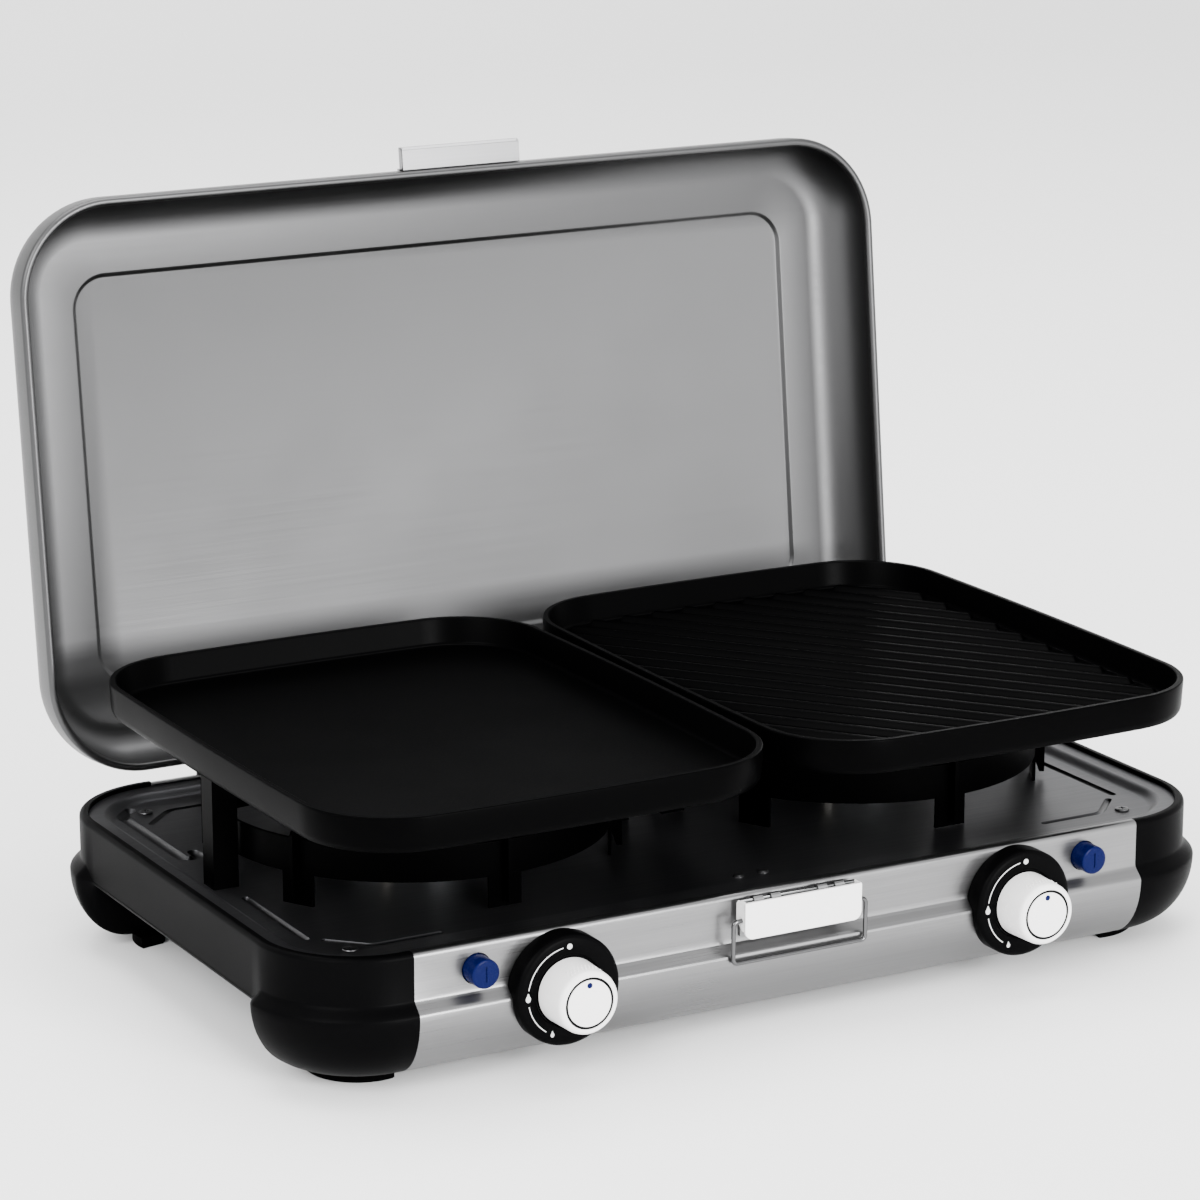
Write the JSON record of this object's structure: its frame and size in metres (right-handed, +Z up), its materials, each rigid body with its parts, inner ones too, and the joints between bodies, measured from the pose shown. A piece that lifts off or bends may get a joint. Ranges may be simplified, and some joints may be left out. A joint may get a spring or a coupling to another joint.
{
  "type": "folding camp grill",
  "caption": "Tabletop gas camping hob in a low case with rounded corners, a hinged pressed lid with a front latch, round pan supports, and lift-off flat and ribbed cooking plates.",
  "frame": {"origin": "centre of the bounding box in plan, on the plane the feet stand on, with the lid open and the plates in place", "axes": "+X to the right along the case, +Y towards the hinged lid at the back, +Z up"},
  "size_m": [0.6022, 0.4562, 0.4363],
  "materials": {
    "brushed_steel": "horizontal brushed stainless steel",
    "hob_steel": "satin stainless steel with a soft reflection",
    "lid_steel": "satin grey sheet steel, smooth",
    "galvanised_steel": "plain galvanised sheet, unseen side",
    "black_plastic": "black moulded plastic with a fine grain",
    "rubber": "matt black rubber",
    "white_plastic": "glossy white moulding",
    "blue_plastic": "glossy blue moulding",
    "nonstick_aluminium": "cast aluminium under a black non-stick coat",
    "enamel": "black heat-proof enamel on steel",
    "aluminium": "bare die-cast aluminium",
    "brass": "machined brass",
    "chrome": "bright plated steel",
    "ceramic": "glazed ceramic insulator with a steel wire"
  },
  "bodies": {
    "case": {"base_tray": "galvanised_steel", "front_panel": "brushed_steel", "rear_panel": "brushed_steel", "hob_plate": "hob_steel", "gas_manifold": "aluminium", "gas_inlet": "brass", "latch_bracket": "brushed_steel", "latch_pin": "chrome", "left_end_casing": "black_plastic", "front_left_foot": "rubber", "rear_left_foot": "rubber", "hob_screw_front_left": "chrome", "hob_screw_rear_left": "chrome", "left_burner_body": "aluminium", "left_burner_cap": "enamel", "left_mixing_tube": "aluminium", "left_injector": "brass", "left_gas_valve": "brass", "left_igniter_body": "black_plastic", "left_spark_electrode": "ceramic", "left_pan_support": "enamel", "left_dial_bezel": "black_plastic", "left_hinge_case_leaf": "brushed_steel", "left_hinge_pin": "chrome", "right_end_casing": "black_plastic", "front_right_foot": "rubber", "rear_right_foot": "rubber", "hob_screw_front_right": "chrome", "hob_screw_rear_right": "chrome", "right_burner_body": "aluminium", "right_burner_cap": "enamel", "right_mixing_tube": "aluminium", "right_injector": "brass", "right_gas_valve": "brass", "right_igniter_body": "black_plastic", "right_spark_electrode": "ceramic", "right_pan_support": "enamel", "right_dial_bezel": "black_plastic", "right_hinge_case_leaf": "brushed_steel", "right_hinge_pin": "chrome"},
    "lid": {"lid_shell": "lid_steel", "lid_keeper": "brushed_steel", "left_hinge_lid_leaf": "brushed_steel", "right_hinge_lid_leaf": "brushed_steel"},
    "griddle": {"griddle_plate": "nonstick_aluminium", "griddle_leg_outer": "enamel", "griddle_leg_inner": "enamel"},
    "grill": {"grill_plate": "nonstick_aluminium", "grill_leg_outer": "enamel", "grill_leg_inner": "enamel"},
    "lever": {"latch_lever": "white_plastic"},
    "bail": {"latch_bail": "chrome"},
    "left_control": {"left_knob": "white_plastic", "left_valve_stem": "brass"},
    "right_control": {"right_knob": "white_plastic", "right_valve_stem": "brass"},
    "left_button": {"left_igniter_button": "blue_plastic"},
    "right_button": {"right_igniter_button": "blue_plastic"}
  },
  "joints": [
    {"name": "lid_hinge", "type": "hinge", "parent": "case", "child": "lid", "pos_m": [0, 0.15521, 0.082], "axis": [1, 0, 0], "range_deg": [0, 96.3]},
    {"name": "griddle_lift_off", "type": "slide", "parent": "case", "child": "griddle", "axis": [0, -0.9507, 0.3102], "range_m": [0, 0.472]},
    {"name": "grill_lift_off", "type": "slide", "parent": "case", "child": "grill", "axis": [0, -0.9507, 0.3102], "range_m": [0, 0.472]},
    {"name": "latch_lever_pivot", "type": "hinge", "parent": "case", "child": "lever", "pos_m": [0, -0.19859, 0.077], "axis": [1, 0, 0], "range_deg": [-115, 0]},
    {"name": "latch_bail_pivot", "type": "hinge", "parent": "lever", "child": "bail", "pos_m": [0, -0.20159, 0.0675], "axis": [-1, 0, 0], "range_deg": [0, 190]},
    {"name": "left_knob_turn", "type": "hinge", "parent": "case", "child": "left_control", "pos_m": [-0.1462, -0.21809, 0.0481], "axis": [0, -1, 0], "range_deg": [0, 150]},
    {"name": "left_button_press", "type": "slide", "parent": "case", "child": "left_button", "axis": [0, 1, 0], "range_m": [0, 0.0055], "stiffness_N_per_m": 400, "springref_m": -0.002},
    {"name": "right_knob_turn", "type": "hinge", "parent": "case", "child": "right_control", "pos_m": [0.1462, -0.21809, 0.0481], "axis": [0, -1, 0], "range_deg": [0, 150]},
    {"name": "right_button_press", "type": "slide", "parent": "case", "child": "right_button", "axis": [0, 1, 0], "range_m": [0, 0.0055], "stiffness_N_per_m": 400, "springref_m": -0.002}
  ],
  "couplings": [
    {"joint": "griddle_lift_off", "follows": "lid_hinge", "m_per_rad": 0.28},
    {"joint": "grill_lift_off", "follows": "lid_hinge", "m_per_rad": 0.28}
  ]
}
